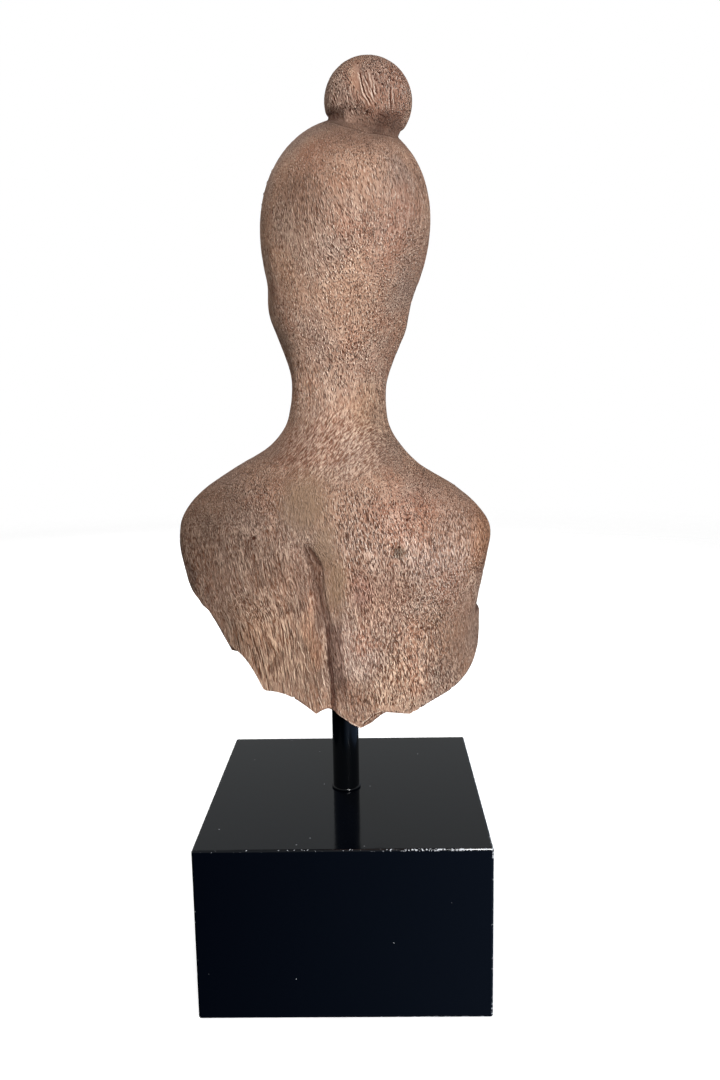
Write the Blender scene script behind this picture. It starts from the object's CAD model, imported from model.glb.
# %% [markdown]
# # A carved wooden bust on a rod and a lacquered block
#
# The object is a woman's bust, cut from one piece of open-grained hardwood and broken off below
# its armless shoulders. A black steel rod holds it over a square black block. Everything here is
# in metres in Blender, and in millimetres wherever a table or a form says so. The face looks
# along -Y, and the camera stands behind the figure, as the photographer did.
#
# The first cell loads the fixed frame that the pieces stand in, and keeps its box.

# %% Load the frame
import math

import bmesh
import bpy
import numpy as np
from mathutils import Matrix, Vector


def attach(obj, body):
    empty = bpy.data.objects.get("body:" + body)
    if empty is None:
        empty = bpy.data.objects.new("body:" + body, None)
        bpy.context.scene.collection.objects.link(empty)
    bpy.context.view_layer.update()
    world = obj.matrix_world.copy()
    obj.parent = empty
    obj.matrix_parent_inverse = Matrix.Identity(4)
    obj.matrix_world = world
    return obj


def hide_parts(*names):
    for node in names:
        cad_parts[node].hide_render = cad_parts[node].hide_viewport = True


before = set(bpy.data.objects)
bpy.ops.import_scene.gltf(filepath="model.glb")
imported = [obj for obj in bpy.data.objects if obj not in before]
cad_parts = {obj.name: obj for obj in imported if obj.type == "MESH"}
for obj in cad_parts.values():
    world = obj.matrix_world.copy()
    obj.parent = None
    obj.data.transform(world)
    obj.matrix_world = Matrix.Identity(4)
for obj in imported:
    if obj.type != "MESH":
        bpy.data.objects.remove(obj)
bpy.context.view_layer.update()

MM = 0.001

# %% [markdown]
# ## The camera
#
# The six visible corners of the block fix where the camera stood: about a third of a metre
# behind the figure, a little above its shoulders, looking down by nine degrees. A camera can be
# aimed with a constraint or by eye. Here its three axes are worked out from the measured angles
# and set as a matrix, because then the small roll of a hand-held photograph is kept as well.

# %% Camera
IMAGE_HEIGHT = 1080
FOCAL_PIXELS = 885
SENSOR = 36.0
EYE = Vector((-12.09, 322.53, 205.47)) * MM
PITCH, YAW, ROLL = (math.radians(a) for a in (8.62, -0.95, -0.94))

ahead = Vector((-math.sin(YAW) * math.cos(PITCH), -math.cos(YAW) * math.cos(PITCH), -math.sin(PITCH)))
level = Vector((-math.cos(YAW), math.sin(YAW), 0))
upright = level.cross(ahead)
right = math.cos(ROLL) * level + math.sin(ROLL) * upright
above = math.cos(ROLL) * upright - math.sin(ROLL) * level

camera = bpy.data.objects.new("camera", bpy.data.cameras.new("camera"))
camera.data.sensor_width = SENSOR
camera.data.lens = SENSOR * FOCAL_PIXELS / IMAGE_HEIGHT
camera.data.clip_start = 0.01
camera.matrix_world = Matrix.Translation(EYE) @ Matrix((right, above, -ahead)).transposed().to_4x4()
bpy.context.scene.collection.objects.link(camera)
bpy.context.scene.camera = camera
bpy.context.scene.view_settings.view_transform = "Standard"
print("lens, mm:", round(camera.data.lens, 2))

# %% [markdown]
# ## Arithmetic with nodes
#
# A material is a graph of nodes, and so is a rule that makes a shape. A formula takes many small
# Math nodes in it, and adding each by hand hides the formula. `Tone` wraps one socket and
# overloads the operators, so that `1 - mask * 0.4` adds the nodes by itself. `Nodes` holds a tree,
# and its method `add` makes any other node from its type, its settings and the values or links of
# its sockets. The other methods are short names for the nodes that are used most.

# %% Tone
class Tone:
    """One output socket of a tree of nodes, with arithmetic."""

    def __init__(self, nodes, socket):
        self.nodes, self.socket = nodes, socket

    def math(self, operation, *others):
        values = dict(enumerate((self, *others)))
        return self.nodes.add("ShaderNodeMath", {"operation": operation}, values)

    def __add__(self, other):
        return self.math("ADD", other)

    def __sub__(self, other):
        return self.math("SUBTRACT", other)

    def __rsub__(self, other):
        return self.nodes.add("ShaderNodeMath", {"operation": "SUBTRACT"}, {0: other, 1: self})

    def __mul__(self, other):
        return self.math("MULTIPLY", other)

    __radd__, __rmul__ = __add__, __mul__

    def most(self, other):
        return self.math("MAXIMUM", other)

    def size(self):
        """The number without its sign."""
        return self.math("ABSOLUTE")

    def ramp(self, low, high, to_low=0.0, to_high=1.0):
        """A smooth rise from one value to another, held flat outside."""
        sockets = {0: self, 1: low, 2: high, 3: to_low, 4: to_high}
        return self.nodes.add("ShaderNodeMapRange", {"interpolation_type": "SMOOTHSTEP"}, sockets)


# %% Nodes
class Nodes:
    """A tree of nodes, for a material, for the world or for a shape."""

    def __init__(self, tree):
        self.tree = tree
        self.tree.nodes.clear()

    def add(self, kind, settings=None, sockets=None, out=0):
        """A node of any type. A list gives one socket several links."""
        node = self.tree.nodes.new(kind)
        for key, value in (settings or {}).items():
            setattr(node, key, value)
        for key, value in (sockets or {}).items():
            for one in value if isinstance(value, list) else [value]:
                if isinstance(one, Tone):
                    self.tree.links.new(one.socket, node.inputs[key])
                else:
                    node.inputs[key].default_value = one
        return Tone(self, node.outputs[out]) if node.outputs else None

    def vector(self, operation, first, second=(0, 0, 0), out=0, **more):
        sockets = {0: first, 1: second, **more}
        return self.add("ShaderNodeVectorMath", {"operation": operation}, sockets, out)

    def length(self, at):
        return self.vector("LENGTH", at, out="Value")

    def part(self, at, axis):
        """One coordinate of a point."""
        return self.add("ShaderNodeSeparateXYZ", {}, {0: at}, axis)

    def point(self, x=0.0, y=0.0, z=0.0):
        """A point from three numbers or sockets."""
        return self.add("ShaderNodeCombineXYZ", {}, {0: x, 1: y, 2: z})

    def noise(self, at, scale, detail=2.0, roughness=0.5, out=0):
        sockets = {"Vector": at, "Scale": scale, "Detail": detail, "Roughness": roughness}
        return self.add("ShaderNodeTexNoise", {}, sockets, out)

    def cells(self, at, scale, out=0):
        """The nearest of many scattered points: how far it is, or where."""
        settings = {"feature": "F1", "voronoi_dimensions": "3D"}
        sockets = {"Vector": at, "Scale": scale, "Randomness": 1.0}
        return self.add("ShaderNodeTexVoronoi", settings, sockets, out)


# %% Paint
class Paint(Nodes):
    """The nodes of a new material, or of the world."""

    def __init__(self, name, owner=None):
        self.owner = owner or bpy.data.materials.new(name)
        self.owner.use_nodes = True
        super().__init__(self.owner.node_tree)

    def place(self):
        """The point on the piece, in millimetres."""
        at = self.add("ShaderNodeTexCoord", out="Object")
        return self.vector("SCALE", at, Scale=1 / MM)

    def drift(self, at, scale, detail=1.0):
        """A slow random vector, from -0.5 to 0.5 each way."""
        return self.vector("SUBTRACT", self.noise(at, scale, detail, out="Color"), (0.5, 0.5, 0.5))

    def mix(self, share, first, second, blend="MIX"):
        settings = {"data_type": "RGBA", "blend_type": blend}
        return self.add("ShaderNodeMix", settings, {0: share, 6: first, 7: second}, 2)

    def blob(self, at, middle, radii, soft=0.5):
        """1 inside a soft-edged ellipsoid given in millimetres, 0 outside it."""
        away = self.vector("DIVIDE", self.vector("SUBTRACT", at, middle), radii)
        return self.length(away).ramp(1 + soft, 1 - soft)

    def finish(self, **sockets):
        """The one shader of the surface, and its output."""
        named = {key.replace("_", " "): value for key, value in sockets.items()}
        surface = self.add("ShaderNodeBsdfPrincipled", {}, named)
        self.add("ShaderNodeOutputMaterial", {}, {"Surface": surface})
        print(self.owner.name, "has", len(self.tree.nodes), "nodes")
        return self.owner


def colour(red, green, blue):
    """A colour as it is seen, from 0 to 255, as the linear values that a shader takes."""
    seen = (c / 255 for c in (red, green, blue))
    return (*(c / 12.92 if c <= 0.04045 else ((c + 0.055) / 1.055) ** 2.4 for c in seen), 1)


print("mid grey, linear:", round(colour(128, 128, 128)[0], 3))

# %% [markdown]
# ## The carving as one formula
#
# A bust could be sculpted by hand, lofted from curves or pieced together from spheres. Here the
# whole piece of wood is one formula of space that is below zero inside the wood: soft unions of
# a few named masses and soft cuts. A formula joins neck, head and bun with no seam, it can be
# meshed as finely as the piece needs, and one number moves one feature.

# %% Building blocks of a form
def join(a, b, k):
    """The smaller of two distances, with the corner between them rounded over k."""
    h = np.clip(0.5 + 0.5 * (b - a) / k, 0, 1)
    return b + (a - b) * h - k * h * (1 - h)


def cut(a, b, k):
    """The larger of two distances, rounded the same way."""
    return -join(-a, -b, k)


def step(low, high, x):
    t = np.clip((x - low) / (high - low), 0, 1)
    return t * t * (3 - 2 * t)


def bell(x, width):
    return np.exp(-((x / width) ** 2))


def ellipsoid(p, middle, radii):
    q = (p - np.array(middle, float)) / np.array(radii, float)
    size = np.sqrt((q * q).sum(-1))
    slope = np.sqrt(((q / np.array(radii, float)) ** 2).sum(-1))
    return size * (size - 1) / np.maximum(slope, 1e-9)


def limb(p, a, b, ra, rb):
    """A round limb from a to b that tapers from radius ra to rb."""
    a, b = np.array(a, float), np.array(b, float)
    t = np.clip(((p - a) @ (b - a)) / ((b - a) @ (b - a)), 0, 1)
    return np.linalg.norm(p - a - t[..., None] * (b - a), axis=-1) - (ra + (rb - ra) * t)


def both_sides(p):
    """The same points with X folded over, for what is alike left and right."""
    return np.concatenate([np.abs(p[..., :1]), p[..., 1:]], -1)


def curve(table, column, at):
    """A smooth curve through one column of a table, read at the heights in its first column."""
    rows = np.array(table, float)
    z, v = rows[:, 0], rows[:, column]
    slope = np.gradient(v, z)
    at = np.clip(at, z[0], z[-1])
    i = np.clip(np.searchsorted(z, at, side="right") - 1, 0, len(z) - 2)
    w = z[i + 1] - z[i]
    t = (at - z[i]) / w
    start = (2 * t**3 - 3 * t**2 + 1) * v[i] + (t**3 - 2 * t**2 + t) * w * slope[i]
    return start + (3 * t**2 - 2 * t**3) * v[i + 1] + (t**3 - t**2) * w * slope[i + 1]


# %% [markdown]
# ## The trunk and its broken edge
#
# The trunk is a stack of rounded sections. Each row of the table gives a height, the half widths
# to the two sides, the depths in front and behind, and how square the section is. The lower edge
# is broken off in shallow bites that meet in cusps. It is walked round the body by angle, so the
# same table serves the back, the flanks and the front.

# %% Tables of the trunk
TRUNK = [
    (78, 48.0, 49.5, 22, 22, 2.4),
    (100, 50.5, 49.8, 24, 23, 2.4),
    (117, 51.5, 50.6, 25, 24, 2.4),
    (131, 52.8, 50.6, 26, 25, 2.4),
    (145, 57.2, 53.0, 26, 26, 2.4),
    (158, 59.1, 55.4, 26, 27, 2.4),
    (167, 57.6, 51.5, 25, 27, 2.3),
    (176, 50.2, 42.0, 23, 25.5, 2.2),
    (184.5, 37.4, 28.6, 20, 22.5, 2.1),
    (191, 26.2, 22.4, 17, 20, 2.0),
    (198, 19.9, 18.2, 15.5, 18, 2.0),
    (206, 17.4, 16.9, 14.5, 16.5, 2.0),
    (216, 16.6, 17.2, 14, 16, 2.0),
    (240, 15.5, 16.0, 12, 15, 2.0),
    (256, 13.0, 13.0, 11, 12, 2.0),
]
TRUNK_TOP = 250
# Degrees from the back towards +X, height, and how far the arc that ends there bows up.
RIM = [
    (-180, 101.7, 0),
    (-166, 100.2, 1.2),
    (-150, 102.2, 1.6),
    (-132, 106.2, 1.4),
    (-112, 117.2, 0.8),
    (-96, 126.2, 0.5),
    (-82, 125.2, 0.6),
    (-77, 120.3, -0.4),
    (-60.5, 109.4, -0.5),
    (-50.4, 104.9, -0.1),
    (-40.2, 101.4, -0.1),
    (-28.4, 97.0, 0.1),
    (-17.5, 98.3, 0),
    (-15.0, 97.1, 0),
    (-12.4, 93.8, 0),
    (-9.8, 93.8, 0),
    (-7.4, 92.4, 0),
    (-5.2, 93.3, 0),
    (5.9, 99.6, -0.3),
    (10.5, 97.9, 0.6),
    (31.4, 106.3, 2.5),
    (44.3, 121.1, 2.7),
    (47.5, 122.8, 0),
    (62.6, 135.4, 3.0),
    (65.5, 137.6, -0.3),
    (90, 141.5, 1.2),
    (106, 128.2, 1.0),
    (124, 111.2, 1.6),
    (142, 102.2, 2.0),
    (160, 103.7, 1.5),
    (180, 101.7, 1.5),
]
RIM_LEVEL = 108
HOLLOW = 8
ROD_RADIUS, ROD_TOP, GAP = 5.0, 132.0, 0.3
print("trunk:", len(TRUNK), "sections; broken edge:", len(RIM) - 1, "arcs")

# %% Trunk, section and underside
def section(p):
    """Where points lie in the trunk's section: 1 on its skin, and the angle round it."""
    z = p[..., 2]
    a = np.where(p[..., 0] > 0, curve(TRUNK, 1, z), curve(TRUNK, 2, z))
    b = np.where(p[..., 1] > 0, curve(TRUNK, 4, z), curve(TRUNK, 3, z))
    n = curve(TRUNK, 5, z)
    scale = (np.abs(p[..., 0] / a) ** n + np.abs(p[..., 1] / b) ** n) ** (1 / n)
    angle = np.degrees(np.arctan2(p[..., 0] / a, p[..., 1] / b))
    return np.maximum(scale, 1e-4), angle


def trunk(p, scale):
    r = np.hypot(p[..., 0], p[..., 1])
    side = np.where(r < 1e-6, -12, r * (1 - 1 / scale))
    return cut(np.maximum(side, -15), p[..., 2] - TRUNK_TOP, 4)


def rim_height(angle):
    at, height, bow = np.array(RIM, float).T
    i = np.clip(np.searchsorted(at, angle, side="right") - 1, 0, len(at) - 2)
    t = np.clip((angle - at[i]) / (at[i + 1] - at[i]), 0, 1)
    return height[i] + (height[i + 1] - height[i]) * t + bow[i + 1] * np.sin(math.pi * t)


def underside(p, scale, angle):
    """How far a point lies below the broken underside, a little hollow inside its rim."""
    e = np.minimum(scale, 1)
    rim = RIM_LEVEL + (rim_height(angle) - RIM_LEVEL) * e**1.5
    return rim + HOLLOW * step(0.96, 0.25, e) - p[..., 2]


def rod_hole(p):
    return np.maximum(np.hypot(p[..., 0], p[..., 1]) - ROD_RADIUS - GAP, p[..., 2] - ROD_TOP - GAP)


round_the_edge = rim_height(np.arange(-180, 181.0))
print("broken edge, mm:", round_the_edge.min().round(1), "to", round_the_edge.max().round(1))

# %% [markdown]
# ## The back, the chest and the cut arms
#
# On the trunk come the broad masses of the chest, the collar bones and the neck's two muscles.
# The back has one deep feature, the furrow of the spine: it starts as a sharp slot between the
# shoulders, is steep on one side with a low ridge beside it, and eases out on the other. The arm
# on the -X side was cut off flat, down to a crease above the waist.

# %% Body
# Height and depth of the furrow, and its bottom line: it starts at an X and bends left in turns,
# each from one height to another by so much.
FURROW = [
    (96, 1.1), (112, 1.4), (121, 1.7), (129, 2.1), (138, 2.7),
    (147, 3.0), (152, 2.7), (158, 1.4), (161, 0.2),
]
FURROW_FOOT = 3.1
FURROW_BENDS = [(106, 122, 1.2), (130, 146, 2.1), (150, 161, 4.5)]
STUMP_POINT, STUMP_FACE, CREASE = (-53.4, 8, 157), (-0.975, 0.1, -0.195), 132.0


def body(p, scale):
    m = both_sides(p)
    d = trunk(p, scale)
    d = join(d, ellipsoid(m, (22, -23, 137), (17.5, 17.5, 17.5)), 9)
    d = join(d, ellipsoid(m, (20, -17, 150), (16, 12, 18)), 10)
    bone = limb(m, (5, -17.6, 184.5), (24, -16.6, 180.5), 1.7, 1.7)
    bone = join(bone, limb(m, (24, -16.6, 180.5), (42, -12.6, 174.5), 1.7, 1.2), 3)
    d = join(d, bone, 5)
    d = cut(d, -ellipsoid(p, (0, -24.5, 186.5), (5, 5, 5)), 4)
    left = limb(p, (14.5, 2, 236), (4.5, -15.5, 188), 4.6, 3.2)
    right_side = limb(p, (-16.5, -1, 232), (-4.5, -15.5, 188), 4.6, 3.2)
    d = join(d, np.minimum(left, right_side), 5)
    return join(d, ellipsoid(m, (27, 13.6, 152), (15, 12.5, 19)), 9)


def from_furrow(p):
    """How far left of the furrow's bottom line a point lies."""
    z = p[..., 2]
    return p[..., 0] - FURROW_FOOT - sum(by * step(low, high, z) for low, high, by in FURROW_BENDS)


def furrow(p):
    z, dx = p[..., 2], from_furrow(p)
    depth = np.clip(curve(FURROW, 1, z), 0, 4) * step(163, 158, z)
    ridge = 1.0 * step(163, 150, z) * step(112, 135, z) * bell(dx - 6.0, 3.4)
    steep, easy = step(4.6, -0.2, dx), step(-7.5, -0.5, dx) * 0.6 + step(-1.3, -0.3, dx) * 0.4
    return (depth * np.where(dx > -0.2, steep, easy) - ridge) * step(4, 12, p[..., 1])


def stump(p):
    face = np.array(STUMP_FACE) / np.linalg.norm(STUMP_FACE)
    return np.minimum((p - np.array(STUMP_POINT)) @ face, (p[..., 2] - CREASE) * 0.6)


print("furrow, deepest mm:", max(depth for height, depth in FURROW))

# %% [markdown]
# ## The head, the hair and the bun
#
# The head turns a little to its left and leans to its right. Its face can't be seen from behind,
# so it is a plain, calm one on even thirds: brow, nose and chin, lowered lids and closed lips.
# The hair is a thin cap over the skull with a band along its front, and a row of small
# three-cornered notches is chipped along the band. The bun has a tie line low on it, below which
# it tapers to its foot.

# %% The head's own directions
HEAD = np.array((-2.2, -1.0, 262.0))
BUN = np.array((-12.0, 11.5, 304.6))
TURN, LEAN, NOD = (math.radians(a) for a in (14, 4, 3))
HAIR = 1.3


def head_axes():
    """The head's own directions: to its left, to its back, and up."""
    face = np.array((math.sin(TURN), -math.cos(TURN), 0))
    up = np.array((-math.sin(LEAN), 0, math.cos(LEAN))) + math.sin(NOD) * face
    up /= np.linalg.norm(up)
    face -= (face @ up) * up
    face /= np.linalg.norm(face)
    return np.stack([np.cross(up, face), -face, up])


HEAD_AXES = head_axes()
print("up through the head:", HEAD_AXES[2].round(3))


# %% Face
def face_form(q, m):
    d = join(ellipsoid(q, (0, -7, -12), (20, 24, 28.5)), ellipsoid(q, (0, -6, 9), (21.5, 25, 21)), 8)
    skull = ellipsoid(q, (0, 5, 9), (26.8, 29.5, 28.6))
    skull = join(skull, ellipsoid(q, (0.6, 5, -9), (24.8, 20.5, 32.5)), 12)
    d = join(d, skull, 8)
    d = join(d, ellipsoid(m, (11, -20.5, -10), (8, 7.5, 9)), 6)
    d = join(d, ellipsoid(q, (0, -23, -35.5), (7, 6, 5)), 6)
    d = join(d, limb(m, (17.5, -4, -22), (5, -20, -37), 3.5, 3.5), 7)
    d = cut(d, -ellipsoid(m, (10.6, -34.5, -2), (7.8, 7.2, 5)), 4)
    d = join(d, ellipsoid(m, (10.6, -23.8, -2.8), (6.4, 5.2, 4.2)), 1.2)
    brow = limb(m, (3.4, -30, 3.6), (10.5, -29.2, 6.4), 1.3, 1.2)
    d = join(d, np.minimum(brow, limb(m, (10.5, -29.2, 6.4), (17, -24, 4.6), 1.2, 0.8)), 2.6)
    nose = limb(q, (0, -29.6, 5), (0, -33.6, -13), 2.1, 3.2)
    nose = join(nose, ellipsoid(q, (0, -35.4, -15.4), (3, 3.4, 2.8)), 2.4)
    nose = join(nose, ellipsoid(m, (3.4, -32.2, -16.4), (2.3, 3.4, 2.2)), 1.6)
    d = join(d, nose, 2.6)
    upper = limb(m, (1.6, -29.6, -24.4), (7.4, -27, -25.4), 1.9, 0.9)
    lower = limb(m, (0.4, -28.8, -28), (5.8, -26.8, -27.1), 2.3, 1.1)
    d = join(d, join(upper, lower, 0.6), 1.6)
    d = cut(d, -limb(m, (0, -31.4, -26.2), (8.6, -27.7, -26), 0.6, 0.5), 0.9)
    d = cut(d, -limb(q, (0, -31.4, -19.8), (0, -31.8, -22.4), 0.8, 0.8), 1.2)
    d = cut(d, -ellipsoid(q, (0, -30, -32.2), (5.5, 3, 2)), 2.5)
    lid = limb(m, (4.6, -26.6, -3.6), (10.6, -28.8, -5.6), 0.45, 0.5)
    lid = np.minimum(lid, limb(m, (10.6, -28.8, -5.6), (16.4, -24.6, -3.2), 0.5, 0.4))
    return cut(d, -lid, 0.7)


def ear(m):
    shell = ellipsoid(m, (23.3, -3, -4.5), (2.6, 5.2, 9))
    return cut(shell, -ellipsoid(m, (26.3, -3.6, -3.5), (1.8, 2.8, 5.6)), 0.8)


# %% Hair and its notched band
HAIRLINE = 22.5
BAND_FRONT, BAND_LEAN, BAND_THICK = 2.4, 0.3, 0.9
NOTCH_PITCH, NOTCH_DEPTH, NOTCH_ROW = 3.4, 1.3, 29


def hair(q):
    """How far the hair, its band and the notches stand out from the skull."""
    drop = np.maximum(q[..., 2] - HAIRLINE, -19)
    hairline = q[..., 1] + 25 + drop + 0.01 * q[..., 0] ** 2
    cap = step(-0.7, 0.7, hairline)
    band_back = q[..., 1] + BAND_FRONT + BAND_LEAN * (22 - q[..., 2])
    band = cap * step(0.5, -0.5, band_back)
    along = np.arctan2(q[..., 0], q[..., 2] - 2) * NOTCH_ROW / NOTCH_PITCH
    across = np.clip(1 - np.abs(band_back + 1.3) / 1.9, 0, 1)
    notch = np.clip(1 - np.abs(along - np.round(along)) / 0.34, 0, 1) * across
    low = step(-32, -4, q[..., 2])
    return (HAIR * cap + BAND_THICK * band - NOTCH_DEPTH * np.clip(notch / 0.6, 0, 1)) * low


def head(p):
    q = (p - HEAD) @ HEAD_AXES.T
    m = both_sides(q)
    return join(face_form(q, m), ear(m), 1.2) - hair(q)


# %% Bun
# Knife cuts round the foot of the bun: degrees round it and how far out.
FOOT_CUTS = [
    (20, 13.75), (62, 13.35), (108, 14.05), (150, 13.55),
    (196, 13.85), (238, 13.35), (281, 13.95), (325, 13.45),
]
KNIFE_OUT, KNIFE_DOWN = 0.86, 0.51


def tie_line(q):
    """Height above the wavy tie line of the bun."""
    x, y, z = np.moveaxis(q, -1, 0)
    waves = 0.5 * bell(x - 3.5, 5.0) - 0.9 * bell(x + 7.5, 3.0) + 0.3 * np.sin(y * 0.5)
    return z + 6.7 - 0.11 * x + waves


def bun(p):
    q = (p - BUN) @ HEAD_AXES.T
    ball = ellipsoid(q, (0, 0, 0), (14.6, 13.6, 13.9))
    d = join(ball, ellipsoid(q, (0.5, -0.6, -7.4), (13.4, 12.8, 8)), 0.6)
    for turn, reach in FOOT_CUTS:
        angle = math.radians(turn)
        knife = np.array((KNIFE_OUT * math.cos(angle), KNIFE_OUT * math.sin(angle), -KNIFE_DOWN))
        d = cut(d, q @ knife - reach, 0.2)
    above = tie_line(q)
    return d + 0.4 * step(0.5, -0.5, above) + 0.2 * bell(above, 0.7)


# %% [markdown]
# ## The whole carving
#
# The masses are joined softly where the carver's gouge ran over, and cut crisply where wood broke
# away. The break comes last, as it did on the real piece, with a small chip knocked out of its
# lowest tip. Cutting a finished mesh with a boolean would give the same edge, but the formula
# keeps one place for every number, and the edge can be found again when the mesh is made.

# %% Joining and breaking
CHIP_MIDDLE, CHIP_RADIUS = (-14.6, 28.1, 90.0), 8.8


def uncut(p):
    """The carving before its lower edge was broken, but with the chip out of its tip."""
    d = cut(body(p, section(p)[0]), stump(p), 1.5) + furrow(p)
    d = cut(d, CHIP_RADIUS - np.linalg.norm(p - np.array(CHIP_MIDDLE), axis=-1), 0.1)
    return join(join(d, head(p), 13), bun(p), 0.8)


def broken(p):
    return underside(p, *section(p)) * 0.8


def rounding(p):
    """How softly the broken edge is rounded: it is worn only under one arm."""
    angle = section(p)[1]
    return 0.2 + 1.7 * step(-24, -40, angle) * step(-100, -84, angle)


def wood(p):
    """The whole carving, below zero inside the wood."""
    return cut(cut(uncut(p), broken(p), rounding(p)), -rod_hole(p), 0.3)


print("inside the neck:", wood(np.array([[0.0, 0.0, 220.0]])).round(1), "mm")

# %% [markdown]
# ## From formula to mesh
#
# A formula becomes a mesh on a lattice: a cell that the surface crosses gets one vertex, and a
# lattice edge that it crosses gets one face. Marching cubes would do as well, but gives slivers.
# The formula is slow, so it is read on a coarse lattice first, and finely only near the surface.
# The lattice is wider below the neck, where the forms are larger. At the end each vertex slides
# along the formula's slope onto the surface.

# %% Lattice and mesh
FLARE, FLARE_FROM, FLARE_TO = 1.45, 208, 176
LATTICE = (
    np.arange(-44, 42.5, 0.7),
    np.arange(-46, 40, 0.9),
    np.concatenate([np.arange(88, 128, 0.8), np.arange(128, 200, 1.0), np.arange(200, 322, 0.9)]),
)
COARSE, NEAR = 4, 4.5
CORNERS = [(a, b, c) for a in (0, 1) for b in (0, 1) for c in (0, 1)]


def lattice_points(i, j, k):
    x, y, z = (line[index] for line, index in zip(LATTICE, (i, j, k)))
    return np.stack([x * (1 + (FLARE - 1) * step(FLARE_FROM, FLARE_TO, z)), y, z], -1)


def lattice_values(form):
    shape = [len(line) for line in LATTICE]
    marks = [np.append(np.arange(0, n - 1, COARSE), n - 1) for n in shape]
    value = form(lattice_points(*np.meshgrid(*marks, indexing="ij")))
    for axis, (mark, n) in enumerate(zip(marks, shape)):
        at = np.arange(n)
        i = np.clip(np.searchsorted(mark, at, side="right") - 1, 0, len(mark) - 2)
        t = ((at - mark[i]) / (mark[i + 1] - mark[i])).reshape([-1 if a == axis else 1 for a in range(3)])
        value = np.take(value, i, axis) * (1 - t) + np.take(value, i + 1, axis) * t
    near = np.nonzero(np.abs(value) < NEAR)
    value[near] = form(lattice_points(*near))
    return value


def untangle(value):
    """Parts the surface where it would meet itself along an edge of the mesh."""
    for axis in range(3):
        v = np.moveaxis(value, axis, 0)
        ring = np.stack([v[:, :-1, :-1], v[:, 1:, :-1], v[:, 1:, 1:], v[:, :-1, 1:]])
        inside = ring < 0
        crossed = (inside[0] == inside[2]) & (inside[1] == inside[3]) & (inside[0] != inside[1])
        for i, j, k in np.argwhere(crossed):
            corner = int(np.argmin(np.abs(ring[:, i, j, k])))
            at = (i, j + (corner in (1, 2)), k + (corner in (2, 3)))
            v[at] = 1e-3 if v[at] < 0 else -1e-3


def mesh_of(value):
    """Vertices in millimetres, their cells, and four-cornered faces that point outwards."""
    inside = value < 0
    cells = [n - 1 for n in value.shape]
    shifted = [tuple(slice(o, o + n) for o, n in zip(corner, cells)) for corner in CORNERS]
    count = sum(inside[s].astype(np.int8) for s in shifted)
    active = (count > 0) & (count < 8)
    vertex = np.full(active.shape, -1)
    vertex[active] = np.arange(active.sum())
    cell = np.argwhere(active)
    total, crossings = np.zeros((len(cell), 3)), np.zeros(len(cell))
    for corner in CORNERS:
        for axis in range(3):
            if corner[axis]:
                continue
            a = cell + corner
            b = a + np.eye(3, dtype=int)[axis]
            fa, fb = value[tuple(a.T)], value[tuple(b.T)]
            crossed = (fa < 0) != (fb < 0)
            t = np.where(crossed, fa / np.where(crossed, fa - fb, 1), 0)[:, None]
            total += crossed[:, None] * (lattice_points(*a.T) * (1 - t) + lattice_points(*b.T) * t)
            crossings += crossed
    faces = []
    for axis in range(3):
        u, v = (np.eye(3, dtype=int)[(axis + turn) % 3] for turn in (1, 2))
        start, end = (np.take(inside, range(o, o + cells[axis]), axis) for o in (0, 1))
        edge = np.argwhere(start != end)
        ring = np.stack([vertex[tuple((edge - o).T)] for o in (u + v, v, 0 * u, u)], 1)
        outwards = start[tuple(edge.T)]
        ring[~outwards] = ring[~outwards][:, ::-1]
        faces.append(ring)
    return total / crossings[:, None], cell, np.concatenate(faces)


def slope_of(form, at, reach=0.05):
    return np.stack([form(at + o) - form(at - o) for o in reach * np.eye(3)], 1) / (2 * reach)


def settle(form, at, rounds=3, reach=0.05, longest=0.4):
    for _ in range(rounds):
        value = form(at)
        slope = slope_of(form, at, reach)
        move = -(value / np.maximum((slope**2).sum(1), 0.05))[:, None] * slope
        size = np.linalg.norm(move, axis=1)
        at = at + move * np.minimum(1, longest / np.maximum(size, 1e-9))[:, None]
    return at


def sharpen_rim(at, cell, near_by=1.8, slack=0.6):
    """Puts the vertex of each cell that the crisp broken edge runs through onto that edge."""
    near = np.nonzero((at[:, 2] < 150) & (np.abs(broken(at)) < near_by))[0]
    near = near[(np.abs(uncut(at[near])) < near_by) & (rounding(at[near]) < 0.5)]
    corners = np.stack([lattice_points(*(cell[near] + corner).T) for corner in CORNERS])
    for form in (uncut, broken):
        side = form(corners)
        through = (side.min(0) < 0) & (side.max(0) > 0)
        near, corners = near[through], corners[:, through]
    p = at[near]
    for _ in range(5):
        values = np.stack([uncut(p), broken(p)], 1)
        slopes = np.stack([slope_of(uncut, p), slope_of(broken, p)], 1)
        square = slopes @ slopes.transpose(0, 2, 1) + 0.01 * np.eye(2)
        move = -(slopes.transpose(0, 2, 1) @ np.linalg.solve(square, values[..., None]))[..., 0]
        p = p + move * np.minimum(1, 0.5 / np.maximum(np.linalg.norm(move, axis=1), 1e-9))[:, None]
    inside = ((p > corners.min(0) - slack) & (p < corners.max(0) + slack)).all(1)
    at[near[inside]] = p[inside]
    print("vertices on the rim:", int(inside.sum()))
    return at


lattice = lattice_values(wood)
for _ in range(3):
    untangle(lattice)
vertices, cells, faces = mesh_of(lattice)
vertices = sharpen_rim(settle(wood, vertices), cells)
print("carving:", len(vertices), "vertices,", len(faces), "faces")

# %% [markdown]
# ## Weathered grain, as a Geometry Nodes tree
#
# Old open-grained wood wears into ridges: the soft growth sinks and the hard growth stands. It
# follows the whole surface, so a tree of nodes makes it: each point moves along its normal by a
# noise that is drawn out along the trunk. Sculpting it by hand would never be as even, and a
# displacement in the material would be lost when the mesh is handed on. The finest pores stay in
# the material's bump.

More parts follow.
